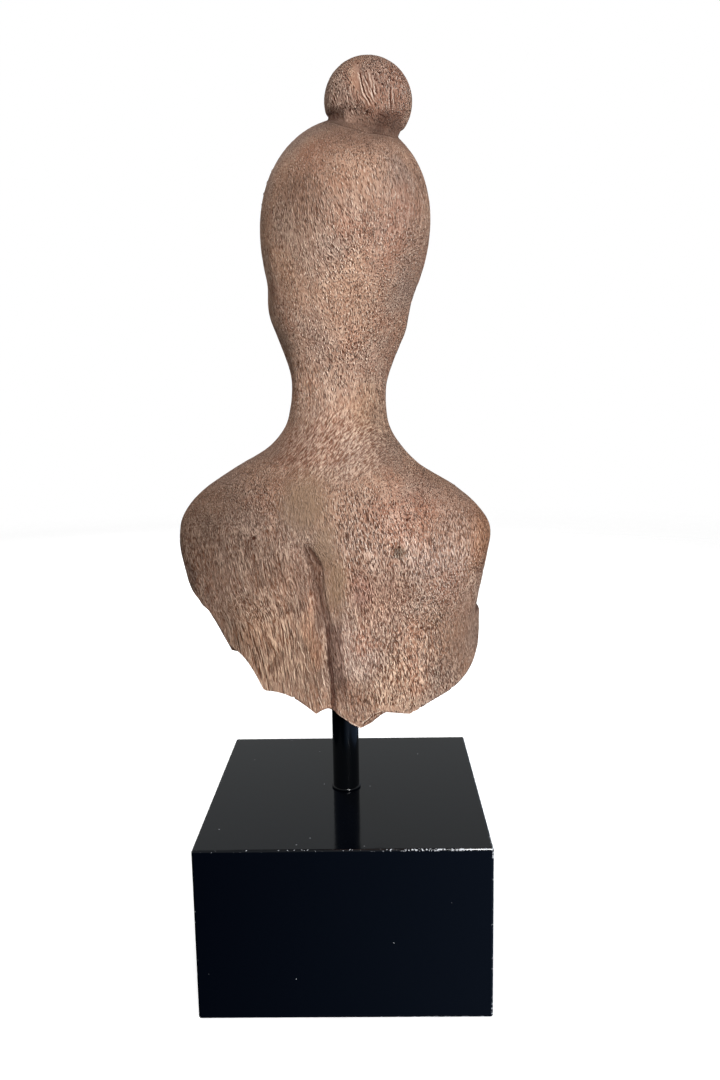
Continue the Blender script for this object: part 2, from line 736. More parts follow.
# %% Nodes that make a shape
class Shaper(Nodes):
    """The nodes that make a shape, with named sizes as inputs."""

    def __init__(self, name, *sizes):
        super().__init__(bpy.data.node_groups.new(name, "GeometryNodeTree"))
        inputs = [("Geometry", "NodeSocketGeometry"), *((size, "NodeSocketFloat") for size in sizes)]
        for label, kind in inputs:
            self.tree.interface.new_socket(label, in_out="INPUT", socket_type=kind)
        self.tree.interface.new_socket("Geometry", in_out="OUTPUT", socket_type="NodeSocketGeometry")
        source = self.tree.nodes.new("NodeGroupInput")
        self.given = {socket.name: Tone(self, socket) for socket in source.outputs}

    def close(self, geometry, material):
        """Realised instances and the piece's material, at the end of every tree."""
        real = self.add("GeometryNodeRealizeInstances", {}, {"Geometry": geometry})
        dressed = self.add("GeometryNodeSetMaterial", {}, {"Geometry": real, "Material": material})
        self.add("NodeGroupOutput", {}, {"Geometry": dressed})
        return self

    def run(self, name, mesh, values):
        """The tree's result on a mesh, as a plain mesh object."""
        carrier = bpy.data.objects.new(name, mesh)
        bpy.context.scene.collection.objects.link(carrier)
        modifier = carrier.modifiers.new("tree", "NODES")
        modifier.node_group = self.tree
        for item in self.tree.interface.items_tree:
            if item.in_out == "INPUT" and item.name in values:
                modifier[item.identifier] = values[item.name]
        evaluated = carrier.evaluated_get(bpy.context.evaluated_depsgraph_get())
        result = bpy.data.meshes.new_from_object(evaluated)
        carrier.modifiers.clear()
        carrier.data = result
        result.name = name
        print(name + ":", len(result.vertices), "vertices,", len(result.polygons), "faces")
        return carrier


def smooth(piece, sharp_from=40):
    piece.data.shade_smooth()
    piece.data.set_sharp_from_angle(angle=math.radians(sharp_from))


# %% The tree of the weathered grain
WAVE_REACH, WAVE_SCALE = 0.006, 60.0


def weathered_grain(material):
    shape = Shaper("weathered_grain", "Relief", "Width", "Length", "Lean", "Seed")
    given = shape.given
    place = shape.add("GeometryNodeInputPosition")
    upright = shape.vector("ADD", place, shape.point(shape.part(place, "Z") * given["Lean"] * -1.0))
    wave = shape.noise(place, WAVE_SCALE, 1.0, out="Color")
    bent = shape.vector("ADD", upright, shape.vector("MULTIPLY", wave, (WAVE_REACH, WAVE_REACH, 0.0)))
    in_fibres = shape.vector("DIVIDE", bent, shape.point(given["Width"], given["Width"], given["Length"]))
    sockets = {"Vector": in_fibres, "W": given["Seed"], "Scale": 1.0, "Detail": 2.0}
    fibre = shape.add("ShaderNodeTexNoise", {"noise_dimensions": "4D"}, sockets)
    wear = shape.add("GeometryNodeInputNamedAttribute", {"data_type": "FLOAT"}, {"Name": "wear"}, "Attribute")
    rise = (fibre - 0.5) * (wear * given["Relief"])
    offset = shape.vector("SCALE", shape.add("GeometryNodeInputNormal"), Scale=rise)
    moved = shape.add("GeometryNodeSetPosition", {}, {"Geometry": given["Geometry"], "Offset": offset})
    return shape.close(moved, material)


# %% [markdown]
# ## The material of the wood
#
# The bare wood is a pinkish tan that runs to grey-brown in places. Three things show in it: pale
# hard fibres and darker soft ones drawn out along the trunk, short dark vessels that are dashes
# where the surface runs with the grain and dots where it cuts across, and broad blotches of
# handling and age. A picture of wood could be wrapped round it, but a solid pattern in space
# does what real wood does: it turns from dashes to dots over the shoulders by itself.
#
# The grain leans a little off the vertical and wavers, so the point on the piece is first bent
# into the grain's own coordinates.

# %% Grain coordinates
GRAIN_LEAN = 0.16
SWAY, SWAY_SCALE = 4.0, 0.035
WAVER, WAVER_SCALE = 0.5, 0.25


def grain_place(paint, place):
    """The point on the piece in millimetres, leaned and bent with the fibres."""
    height = paint.part(place, "Z")
    bent = paint.vector("ADD", place, paint.point(height * -GRAIN_LEAN))
    flat = paint.vector("MULTIPLY", place, (1.0, 1.0, 0.4))
    for reach, scale in ((SWAY, SWAY_SCALE), (WAVER, WAVER_SCALE)):
        drift = paint.drift(flat, scale)
        bent = paint.vector("ADD", bent, paint.vector("MULTIPLY", drift, (reach * 2, reach * 2, 0.0)))
    return bent


# %% Knot and blade strokes
# The knot's middle, how tall its rings are and how they lean, their spacing, their span from
# the innermost to the outermost, and how plain they are.
KNOTS = [
    ((16.6, 27.0, 144.8), (2.0, 0.1), 1.0, (0.2, 2.4), 0.10),
]
# Parallel strokes of a blade across the bun: middle and radii, lean, spacing, how far the lowest
# ones bend, and how plain they are.
COMBED = (-12.2, 24.0, 304.4), (3.0, 14.0, 5.0)
COMB_LEAN, COMB_PITCH, COMB_BEND, COMB_DEPTH = 0.29, 1.12, 1.2, 0.16


def round_knots(paint, place, fine):
    """Blade strokes and rings round the knot, and how far they replace the straight fibres."""
    moved = paint.vector("ADD", place, paint.vector("SCALE", paint.drift(place, 0.35), Scale=1.6))
    behind = paint.part(place, "Y").ramp(6, 12)
    share = paint.blob(moved, *COMBED, 0.25) * behind
    x, z = (paint.part(moved, axis) for axis in "XZ")
    turns = x - z * COMB_LEAN + z.ramp(303, 299) * COMB_BEND
    strokes = (turns * (math.tau / COMB_PITCH)).math("SINE") * COMB_DEPTH + 0.5
    fine = fine * (1 - share) + strokes * share
    for middle, (tall, lean), spacing, (inner, outer), depth in KNOTS:
        away = paint.vector("SUBTRACT", moved, middle)
        away = paint.vector("ADD", away, paint.point(paint.part(away, "Z") * -lean))
        reach = paint.length(paint.vector("MULTIPLY", away, (1.0, 0.0, 1 / tall)))
        near = reach.ramp(outer + 0.8, outer - 0.8) * reach.ramp(inner - 0.4, inner + 0.4) * behind
        rings = (reach * (math.tau / spacing)).math("SINE") * depth + 0.5
        fine = fine * (1 - near) + rings * near
        share = near.most(share)
    return fine, share


# %% Vessels
# How tightly the vessels are packed, per millimetre: across the grain twice, and along it.
COARSE_VESSELS, SMALL_VESSELS, LONG_VESSELS = (1.45, 1.45, 0.36), (2.2, 2.2, 0.6), (1.6, 1.6, 0.13)
LIP_BESIDE, LIP_BEHIND = 0.46, 0.1


def vessels(paint, at, packing, size):
    """Dark vessels drawn out along the grain, and a pale lip of hard fibre beside each."""
    spot = paint.vector("MULTIPLY", at, packing)
    middle = paint.cells(spot, 1.0, "Position")
    chance = Tone(paint, middle.socket.node.outputs["Color"])
    side, luck = (paint.add("ShaderNodeSeparateColor", {}, {0: chance}, key) for key in ("Red", "Green"))
    away = paint.vector("SUBTRACT", spot, middle)
    lip = paint.point((side - 0.5).math("SIGN") * LIP_BESIDE, LIP_BEHIND)
    from_lip = paint.vector("SUBTRACT", away, lip)
    reach = luck * 0.16 + size
    dark, pale = (reach - paint.length(each) for each in (away, from_lip))
    return dark.ramp(-0.05, 0.05), pale.ramp(-0.07, 0.07)


# %% Marks of tools and accidents
# A scraper left fine slanting marks on the nape: middle, radii and slant.
SCRAPED = (2.0, 20.0, 193.0), (27.0, 18.0, 13.0)
SCRAPE_SLANT = math.radians(42)
# Single cracks and raised splinters on the back, as x and z of both ends, half width, how dark it
# is, and how pale its lip is. The lip lies towards -X of a crack that is listed downwards, and
# towards +X of one that is listed upwards.
CRACKS = [
    ((2.4, 131.0), (-1.6, 111.5), 0.22, 0.7, 0.5),
    ((11.9, 159.4), (9.0, 152.4), 0.20, 0.7, 0.6),
    ((21.3, 139.5), (21.2, 133.0), 0.24, 0.7, 0.3),
    ((20.6, 131.4), (19.8, 123.4), 0.26, 0.9, 0.7),
    ((14.7, 138.6), (14.4, 133.0), 0.22, 0.7, 0.3),
    ((15.5, 125.0), (13.0, 118.5), 0.16, 0.4, 0.9),
    ((13.3, 117.0), (11.5, 112.8), 0.18, 0.6, 0.9),
    ((7.7, 114.2), (6.3, 108.0), 0.18, 0.6, 1.0),
    ((8.6, 104.5), (7.2, 100.0), 0.10, 0.3, 0.8),
    ((-30.7, 124.5), (-30.7, 112.0), 0.18, 0.45, 0.0),
    ((1.6, 97.4), (-2.5, 94.7), 0.05, 0.0, 0.9),
    ((-2.5, 94.7), (-6.4, 92.2), 0.05, 0.0, 1.0),
    ((-6.9, 93.8), (-10.7, 97.2), 0.22, 0.9, 0.9),
    ((-10.7, 97.2), (-13.9, 98.5), 0.20, 0.8, 0.5),
    ((-8.5, 94.2), (-14.0, 97.9), 0.20, 0.6, 0.0),
    ((-11.2, 302.7), (-9.4, 309.9), 0.27, 1.0, 0.8),
    ((-12.9, 300.1), (-11.2, 302.7), 0.24, 1.0, 0.6),
    ((-12.3, 305.4), (-10.9, 309.0), 0.24, 0.9, 0.6),
    ((-14.0, 301.6), (-13.2, 304.8), 0.24, 1.0, 0.9),
    ((-14.8, 302.6), (-14.1, 306.0), 0.20, 0.9, 0.9),
    ((-19.1, 299.4), (-19.1, 305.4), 0.26, 1.0, 0.5),
    ((-20.6, 300.4), (-20.3, 304.6), 0.18, 0.7, 0.6),
    ((-6.0, 301.0), (-5.2, 305.6), 0.14, 0.7, 0.7),
    ((-20.4, 291.6), (-11.6, 291.2), 0.30, 0.5, 0.3),
    ((-11.6, 291.2), (-4.0, 293.8), 0.30, 0.5, 0.3),
    ((-4.0, 293.8), (0.6, 296.9), 0.30, 0.5, 0.3),
    ((-7.2, 303.5), (-6.8, 305.3), 0.13, 0.5, 0.6),
    ((-10.6, 298.4), (-13.2, 297.6), 0.20, 0.8, 0.0),
    ((-14.6, 297.6), (-17.2, 297.1), 0.20, 0.8, 0.0),
]
# Worm holes and open pores, as x, z and radius.
PITS = [
    (28.7, 161.8, 0.7), (-23.3, 167.1, 0.5), (-20.3, 158.1, 0.45), (-28.0, 128.7, 0.6),
    (-15.7, 309.5, 0.38), (-14.9, 307.0, 0.42), (-13.8, 308.9, 0.32), (-11.5, 309.8, 0.34),
    (-12.4, 311.0, 0.34), (-8.8, 313.0, 0.34), (-18.6, 308.5, 0.36), (-20.0, 307.7, 0.36),
    (-16.6, 305.9, 0.34), (-14.3, 300.0, 0.34), (-14.1, 307.4, 0.34), (-6.2, 299.2, 0.4),
]


def scraped(paint, place):
    """The scraper's marks, and how much of them there is at a point."""
    x, y, z = (paint.part(place, axis) for axis in "XYZ")
    rise, depth = (z - y) * 0.7, (z + y) * 0.7
    lean, stand = math.sin(SCRAPE_SLANT), math.cos(SCRAPE_SLANT)
    across, along = (x * stand + rise * lean) * 2.2, (rise * stand - x * lean) * 0.6
    marks = paint.noise(paint.point(across, along, depth * 0.4), 1.0, 0.5)
    return marks, paint.blob(place, *SCRAPED, 0.5) * y.ramp(4, 10)


def along_and_across(paint, flat, start, end):
    """How far a point lies from a crack's middle along it, and from its line across it."""
    (x0, z0), (x1, z1) = start, end
    length = math.hypot(x1 - x0, z1 - z0)
    ux, uz = (x1 - x0) / length, (z1 - z0) / length
    along = paint.vector("DOT_PRODUCT", flat, (ux, 0, uz), out="Value") - (ux * x0 + uz * z0 + length / 2)
    across = paint.vector("DOT_PRODUCT", flat, (uz, 0, -ux), out="Value") - (uz * x0 - ux * z0)
    return along, across, length / 2


def cracks(paint, place):
    """How dark and how pale the single cracks and pits make a point."""
    sway = (paint.noise(place, 0.5, 1.0) - 0.5) * 1.0
    x, y, z = (paint.part(place, axis) for axis in "XYZ")
    flat = paint.point(x + sway, 0.0, z)
    dark, pale = 0.0, 0.0
    for start, end, half, depth, lip in CRACKS:
        along, across, reach = along_and_across(paint, flat, start, end)
        ends = along.size().ramp(reach + half, reach - 3 * half)
        if depth:
            dark = (across.size().ramp(half + 0.1, half - 0.1, 0.0, depth) * ends).most(dark)
        if lip:
            pale = ((across - half - 0.22).size().ramp(0.26, 0.08, 0.0, lip) * ends).most(pale)
    for pit_x, pit_z, radius in PITS:
        away = paint.vector("DISTANCE", flat, (pit_x, 0, pit_z), out="Value")
        dark = away.ramp(radius + 0.1, radius - 0.15).most(dark)
    behind = y.ramp(8, 14)
    return dark * behind, pale * behind


# %% Colours of the wood
PALE, TAN, BROWN = colour(220, 190, 168), colour(170, 134, 112), colour(110, 70, 50)
GREY, RUDDY, FILLER = colour(156, 133, 120), colour(160, 112, 89), colour(146, 119, 96)
PORE, LIP = colour(80, 41, 24), colour(236, 210, 190)
DIRT = (0.32, 0.25, 0.24, 1)
# Smooth filler let into the back, between the shoulders and beside the furrow.
FILLS = [
    ((11.0, 26.0, 173.0), (8.5, 14.0, 10.5)),
    ((5.0, 26.0, 158.0), (4.6, 14.0, 9.0)),
    ((1.6, 26.0, 145.0), (3.6, 14.0, 11.0)),
]
# Where long open fibres show instead of dashes, low on the figure's left.
LONG_GRAIN = (24.0, 24.0, 122.0), (24.0, 20.0, 34.0)
# The side of the back where the weather has opened the grain most.
ROUGH_SIDE = (34.0, 18.0, 142.0), (26.0, 22.0, 48.0)


def furrow_dirt(paint, place):
    """The furrow's dark slope, the dirt beside its foot and its thin bottom line."""
    x, y, z = (paint.part(place, axis) for axis in "XYZ")
    dx = x - FURROW_FOOT
    for low, high, by in FURROW_BENDS:
        dx = dx - z.ramp(low, high) * by
    dx = dx + (paint.noise(place, 0.4, 1.0) - 0.5) * 1.2
    slope = dx.ramp(4.6, 2.4) * dx.ramp(-1.3, 0.3) * z.ramp(162, 156) * z.ramp(126, 134)
    floor = dx.ramp(-5.2, -3.8) * dx.ramp(0.9, 0.1) * z.ramp(134, 128) * z.ramp(98, 112)
    line = dx.ramp(1.2, 0.6) * dx.ramp(-1.0, -0.4) * z.ramp(161, 157)
    line = line * z.ramp(149, 153, 0.6, 1.0).most(z.ramp(138, 128))
    return (slope * 0.74).most(floor * 0.75).most(line) * y.ramp(6, 12)


def filler(paint, place):
    """How far a point is covered by filler, whose outline wanders."""
    moved = paint.vector("ADD", place, paint.vector("SCALE", paint.drift(place, 0.15, 2.0), Scale=6.0))
    filled = 0.0
    for middle, radii in FILLS:
        filled = paint.blob(moved, middle, radii, 0.6).most(filled)
    return filled


# %% Patterns of the grain
# How tightly each pattern is packed, per millimetre: across the grain twice, and along it.
DASHES, FIBRES, STREAKS = (2.8, 2.8, 0.62), (2.3, 2.3, 0.24), (0.5, 0.5, 0.05)
# Where the middle of the tree lay, and how the layers of its growth run round it.
PITH, LAYERS = (-35.0, -45.0, 0.0), (1.0, 1.0, 0.12)


def drawn_out(paint, at, packing, detail, roughness=0.5):
    """A noise drawn out along the grain."""
    return paint.noise(paint.vector("MULTIPLY", at, packing), 1.0, detail, roughness)


def growth_layers(paint, at):
    away = paint.vector("MULTIPLY", paint.vector("SUBTRACT", at, PITH), LAYERS)
    sockets = {"W": paint.length(away), "Scale": 0.75, "Detail": 1.0}
    return paint.add("ShaderNodeTexNoise", {"noise_dimensions": "1D"}, sockets)


# %% Material of the wood
def wood_material():
    paint = Paint("carved_wood")
    place = paint.place()
    at = grain_place(paint, place)
    marks = {"grime": "Fac", "open": "Fac", "wear": "Fac", "tint": "Color"}
    grime, shown, wear, tint = (
        paint.add("ShaderNodeAttribute", {"attribute_name": key}, out=out) for key, out in marks.items()
    )

    dashes = drawn_out(paint, at, DASHES, 0.5)
    fibres = drawn_out(paint, at, FIBRES, 1.0)
    long_share = paint.blob(place, *LONG_GRAIN, 0.8) * 0.7 + 0.1
    fine = dashes * (1 - long_share) + fibres * long_share
    scrape, scrape_share = scraped(paint, place)
    fine, knot = round_knots(paint, place, fine)
    streak = drawn_out(paint, at, STREAKS, 3.0, 0.6)
    layers = growth_layers(paint, at)
    crowd = paint.noise(place, 0.07, 1.0)
    blotch = paint.noise(place, 0.03, 3.0, 0.55)
    cloud = paint.noise(paint.vector("ADD", place, (70.0, 0.0, 0.0)), 0.05, 2.0, 0.5)
    filled = filler(paint, place)
    bare = (1 - filled * 0.75) * shown

    size = (crowd - 0.5) * 0.25 + wear * 0.08 + 0.165
    coarse = vessels(paint, at, COARSE_VESSELS, size)
    small = vessels(paint, at, SMALL_VESSELS, size)
    drawn = vessels(paint, at, LONG_VESSELS, size + 0.02)
    crack, splinter = cracks(paint, place)
    short = (1 - long_share) * (1 - scrape_share * 0.7) * (1 - knot * 0.8)
    pores, lips = (
        (a * short).most(b * short).most(c * long_share) * (bare * 0.88 + 0.08 * shown)
        for a, b, c in zip(coarse, small, drawn)
    )

    rough = 1 + 0.45 * paint.blob(place, *ROUGH_SIDE)
    contrast = (wear.ramp(0.3, 0.9, 0.5, 1.0) * bare * rough).most(knot)
    dark_fibres = (fine.ramp(0.48, 0.33) * contrast).most(scrape.ramp(0.47, 0.36) * scrape_share)
    pale_fibres = (fine.ramp(0.52, 0.66) * contrast).most(scrape.ramp(0.53, 0.64) * scrape_share)
    base = paint.mix(blotch.ramp(0.40, 0.64) * 0.8, TAN, GREY)
    base = paint.mix(cloud.ramp(0.50, 0.68) * 0.6, base, RUDDY)
    base = paint.mix(streak.ramp(0.52, 0.64) * contrast * (0.5 - 0.25 * long_share), base, PALE)
    base = paint.mix(streak.ramp(0.48, 0.38) * contrast * (0.45 - 0.25 * long_share), base, BROWN)
    base = paint.mix(layers.ramp(0.48, 0.36) * 0.1, base, BROWN)
    base = paint.mix(filled * 0.8, base, FILLER)
    base = paint.mix(pale_fibres * 0.66, base, PALE)
    base = paint.mix(dark_fibres * 0.75, base, BROWN)
    base = paint.mix(lips.most(splinter) * 0.95, base, LIP)
    base = paint.mix(pores.most(crack) * 0.95, base, PORE)
    base = paint.mix(1.0, base, tint, "MULTIPLY")
    base = paint.mix(grime.most(furrow_dirt(paint, place)), base, DIRT, "MULTIPLY")

    relief = (fine * 1.0 + scrape * scrape_share * 0.8 - pores * 0.4 + lips * 0.2) * shown
    relief = relief + streak * 0.3 + layers * 0.05
    normal = paint.add("ShaderNodeBump", {}, {"Strength": 1.0, "Distance": 1.0 * MM, "Height": relief})
    return paint.finish(Base_Color=base, Roughness=0.76, Specular_IOR_Level=0.15, Normal=normal)


carved_wood = wood_material()

# %% [markdown]
# ## Four values on every vertex
#
# Grime gathers in hollows, and wear raises the grain where the surface is exposed. Hands and tools
# have left some places smooth, so a third value says how open the grain shows. The fourth is a
# tint: the broad light and dark tones of age and handling. They follow from the formula and from
# tables of places, so they are worked out for each vertex and kept on the mesh as attributes. The
# material could find hollows with an ambient occlusion node, but an attribute stays with the mesh
# and costs nothing.

# %% Grime and wear
def outward(at, reach=0.3):
    slope = slope_of(wood, at, reach)
    return slope / np.linalg.norm(slope, axis=1)[:, None]


def shut_in(at, normals, reaches=(1.2, 3.0)):
    """0 on an open surface, towards 1 in a narrow hollow."""
    return np.mean([np.clip(1 - wood(at + normals * r) / r, 0, 1) for r in reaches], 0)


def under_bun(p):
    """The dirty foot of the bun, below its tie line, and the line itself."""
    q = (p - BUN) @ HEAD_AXES.T
    near = step(19, 16.5, np.linalg.norm(q, axis=-1)) * step(-14, -10.5, q[..., 2])
    above = tie_line(q)
    return near * (0.36 * step(0.8, -0.8, above) + 0.22 * bell(above, 0.8))


def worn(at):
    """How deep the weathered grain stands: most on the low back, none along the broken rim."""
    scale, angle = section(at)
    inside = step(-0.5, -5.0, underside(at, scale, angle))
    face_side = step(6, -12, at[:, 1])
    return (0.35 + 0.65 * step(185, 140, at[:, 2])) * (1 - 0.6 * face_side) * (0.15 + 0.85 * inside)


def soft_spot(at, middle, radii, soft):
    away = np.linalg.norm((at - np.array(middle)) / np.array(radii), axis=1)
    return step(1 + soft, 1 - soft, away)


# %% Open grain
# Places that hands and tools have left smooth: middle, radii and how much of the grain is hidden.
SMOOTHED = [
    ((47, 10, 170), (22, 30, 24), 0.1),
    ((24, 2, 262), (8, 30, 34), 0.15),
    ((-2, 12, 285), (26, 20, 14), 0.35),
    ((-46, 10, 172), (16, 26, 18), 0.2),
    ((-12, 11.5, 294), (18, 18, 6), 0.25),
    ((-8.6, 23.5, 308.6), (1.6, 6, 4.4), 0.8),
    ((-6, 22, 270), (18, 14, 12), 0.3),
    ((-46, 12, 124), (10, 24, 18), 0.45),
]


def open_grain(at):
    """How plainly the open grain shows in the colour."""
    face_side = step(6, -14, at[:, 1])
    shown = 1 - 0.45 * face_side
    for middle, radii, hidden in SMOOTHED:
        shown = shown * (1 - hidden * soft_spot(at, middle, radii, 0.5))
    return shown


# %% Tints of age and handling
# Middle and radii in millimetres, how much of the colour is left, and softness.
TINTS = [
    ((-12, 11.5, 306), (16, 16, 15), (0.82, 0.80, 0.80), 0.2),
    ((-5, 12, 288), (15, 20, 8), (0.54, 0.50, 0.49), 0.4),
    ((0, 20, 212), (16, 14, 14), 1.10, 0.6),
    ((-3, 22, 250), (15, 14, 46), 1.20, 0.7),
    ((6, 20, 272), (9, 16, 9), (0.60, 0.57, 0.56), 0.7),
    ((17, 14, 282), (6, 14, 6), (1.10, 1.09, 1.08), 0.6),
    ((-20, 14, 306), (8, 16, 14), (1.0, 1.04, 1.10), 0.6),
    ((-22, 18, 278), (9, 14, 9), (0.86, 0.85, 0.85), 0.6),
    ((-27, 10, 258), (7, 18, 26), (0.96, 0.95, 0.95), 0.6),
    ((17, 10, 190), (9, 14, 12), (0.84, 0.82, 0.82), 0.6),
    ((-17, 10, 189), (9, 14, 12), (0.78, 0.76, 0.75), 0.6),
    ((46, 12, 168), (24, 26, 34), (0.76, 0.73, 0.71), 0.6),
    ((36, 20, 165), (16, 18, 10), 0.84, 0.7),
    ((40, 16, 124), (7, 14, 9), 0.62, 0.7),
    ((50, 12, 149), (10, 18, 8), 0.89, 0.6),
    ((-25, 22, 165), (24, 18, 16), (0.97, 1.0, 1.06), 0.6),
    ((-14, 14, 203), (8, 14, 9), (1.04, 1.0, 0.93), 0.6),
    ((-38, 14, 174), (15, 18, 14), (0.80, 0.78, 0.77), 0.6),
    ((-52, 14, 160), (7, 20, 12), (0.84, 0.72, 0.62), 0.5),
    ((27, 25, 154), (10, 14, 8), (0.79, 0.77, 0.75), 0.6),
    ((17, 26, 148), (6, 14, 7), (0.79, 0.75, 0.73), 0.6),
    ((24, 24, 118), (15, 16, 18), (1.02, 0.96, 0.87), 0.9),
    ((38, 20, 137), (12, 18, 14), (0.90, 0.89, 0.88), 0.9),
    ((29, 20, 121), (8, 14, 8), (0.88, 0.86, 0.85), 0.6),
    ((10, 26, 127), (2.6, 14, 12), (1.14, 1.01, 0.92), 0.5),
    ((-3, 25, 120), (9, 14, 9), (1.26, 1.29, 1.34), 0.6),
    ((-4, 24, 105), (8, 12, 6), (0.84, 0.80, 0.78), 0.5),
    ((-14, 26, 141), (9, 16, 9), (1.12, 1.02, 0.97), 0.6),
    ((-6, 26, 143), (4, 16, 6), (0.88, 0.80, 0.82), 0.5),
    ((-21, 25, 158), (9, 12, 7), 1.18, 0.6),
    ((-35, 24, 147), (9, 16, 11), (1.08, 1.12, 1.18), 0.6),
    ((-20, 20, 107), (10, 16, 9), (1.28, 1.26, 1.20), 0.6),
    ((-44, 16, 122), (10, 20, 15), (0.64, 0.62, 0.61), 0.6),
    ((-25, 24, 174), (13, 16, 12), (1.10, 1.04, 1.0), 0.6),
    ((1, 26, 145), (4, 12, 9), (1.0, 0.99, 0.97), 0.5),
    ((-22.0, 27, 155.1), (2.2, 6, 2.2), (0.58, 0.64, 0.62), 0.5),
    ((52, 14, 148), (2.5, 9, 2.5), (0.72, 0.72, 0.74), 0.5),
    ((-52, 12, 162), (12, 18, 16), (0.95, 0.94, 0.94), 0.6),
    ((11, 16, 222), (5, 14, 20), 1.18, 0.6),
    ((-8.6, 23, 309), (1.7, 6, 4.0), (1.14, 1.14, 1.08), 0.5),
    ((50, 12, 163), (11, 20, 13), (0.77, 0.76, 0.75), 0.6),
    ((-31, 20, 113), (7, 14, 6), 1.1, 0.6),
    ((-19, 17, 292.5), (7, 12, 5), (0.62, 0.60, 0.60), 0.5),
    ((-6, 28, 280), (20, 16, 11), (0.88, 0.87, 0.87), 0.6),
    ((15, 22, 268), (8, 16, 9), (0.88, 0.87, 0.87), 0.6),
    ((-11, 13, 207), (6, 12, 8), 0.86, 0.6),
    ((22, 22, 171), (18, 16, 14), 0.88, 0.7),
    ((-28, 24, 160), (22, 16, 13), 1.14, 0.6),
    ((-20, 24, 127), (12, 14, 13), 1.20, 0.6),
    ((-13, 28, 252), (8, 14, 9), 1.15, 0.6),
    ((16, 22, 262), (10, 16, 18), (1.04, 1.0, 0.95), 0.6),
    ((-20, 20, 262), (10, 16, 18), (0.97, 1.0, 1.05), 0.6),
    ((0, 20, 190), (26, 16, 14), 1.06, 0.6),
    ((-10.5, 22, 294), (12, 8, 3.6), (0.74, 0.72, 0.71), 0.4),
    ((10, 24, 116), (5, 12, 12), 0.82, 0.6),
]


def tint_of(at):
    wavy = at + 1.5 * np.sin(at[:, [1, 2, 0]] * 0.35 + at[:, [2, 0, 1]] * 0.21)
    tint = np.ones((len(at), 3))
    for middle, radii, factor, soft in TINTS:
        tint *= 1 + (np.array(factor) - 1) * soft_spot(wavy, middle, radii, soft)[:, None]
    return tint


# %% Values of the carving
FOOT_MIDDLE, FOOT_RADII = (-12, 11.5, 292), (20, 20, 7)

hollow = step(0.04, 0.5, shut_in(vertices, outward(vertices)))
hollow *= 1 - 0.6 * soft_spot(vertices, FOOT_MIDDLE, FOOT_RADII, 0.3)
marks = {
    "grime": np.maximum(hollow, under_bun(vertices)),
    "wear": worn(vertices),
    "open": open_grain(vertices),
}
tint = np.column_stack([tint_of(vertices), np.ones(len(vertices))])
print("mean marks:", {name: round(float(v.mean()), 3) for name, v in marks.items()})

# %% The carved bust
raw = bpy.data.meshes.new("carving")
raw.from_pydata((vertices * MM).tolist(), [], faces.tolist())
for name, values in marks.items():
    raw.attributes.new(name, "FLOAT", "POINT").data.foreach_set("value", values.astype(np.float32))
tints = raw.attributes.new("tint", "FLOAT_COLOR", "POINT")
tints.data.foreach_set("color", tint.astype(np.float32).ravel())
raw.update()
sizes = {"Relief": 0.0009, "Width": 0.0018, "Length": 0.022, "Lean": GRAIN_LEAN, "Seed": 4.0}
bust = weathered_grain(carved_wood).run("bust_wood", raw, sizes)
smooth(bust, 60)
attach(bust, "root")
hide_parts("carved_bust")

# %% [markdown]
# ## The rod
#
# A plain round bar with a thin fillet of lacquer where it enters the block. It is a profile
# carried along a line, which is just what Geometry Nodes do: a line, a circle along it, and a
# second small circle round the foot for the fillet. Turning a profile with Spin would serve too.

# %% Lacquer
# Specks of dust: how closely they lie, how large they are and how pale.
DUST = [(0.11, 0.035, 0.40), (0.045, 0.018, 0.75)]
DUST_COLOUR = colour(190, 194, 200)
RIPPLE = 0.015


def lacquer_material(name, tint, roughness, worn_edges=None):
    """Black lacquer: a little dust, a faint ripple and an uneven gloss."""
    paint = Paint(name)
    place = paint.place()
    cloud = paint.noise(place, 0.02, 2.0)
    pale = 0.0
    for scale, size, share in DUST:
        pale = paint.cells(place, scale).ramp(size, size * 0.5) * share + pale
    if worn_edges:
        pale = pale.most(worn_edges(paint, place))
    base = paint.mix(pale, tint, DUST_COLOUR)
    rough = cloud.ramp(0.3, 0.7, roughness * 0.85, roughness * 1.2) + pale * 0.3
    ripple = paint.noise(place, 0.35, 2.0)
    normal = paint.add("ShaderNodeBump", {}, {"Strength": 1.0, "Distance": RIPPLE * MM, "Height": ripple})
    return paint.finish(Base_Color=base, Roughness=rough, Specular_IOR_Level=0.5, Normal=normal)


# %% Rod
BLOCK_SIDE, BLOCK_HEIGHT, BLOCK_EDGE = 100.0, 61.0, 0.8
ROD_IN_BLOCK, ROD_FILLET = 22.0, 0.5
ROD_SIDES, FILLET_SIDES = 64, 16


def standing_rod(material):
    shape = Shaper("standing_rod", "Foot", "Length", "Radius", "Fillet")
    given = shape.given

    def circle(sides, radius):
        return shape.add("GeometryNodeCurvePrimitiveCircle", {}, {"Resolution": sides, "Radius": radius})

    def along(curve, profile, caps=False):
        sockets = {"Curve": curve, "Profile Curve": profile, "Fill Caps": caps}
        return shape.add("GeometryNodeCurveToMesh", {}, sockets)

    foot, top = (shape.point(0.0, 0.0, z) for z in (given["Foot"], given["Foot"] + given["Length"]))
    line = shape.add("GeometryNodeCurvePrimitiveLine", {}, {"Start": foot, "End": top})
    bar = along(line, circle(ROD_SIDES, given["Radius"]), caps=True)
    fillet = along(circle(ROD_SIDES, given["Radius"]), circle(FILLET_SIDES, given["Fillet"]))
    height = shape.point(0.0, 0.0, BLOCK_HEIGHT * MM + given["Fillet"])
    lifted = shape.add("GeometryNodeTransform", {}, {"Geometry": fillet, "Translation": height})
    both = shape.add("GeometryNodeJoinGeometry", {}, {"Geometry": [lifted, bar]})
    return shape.close(both, material)


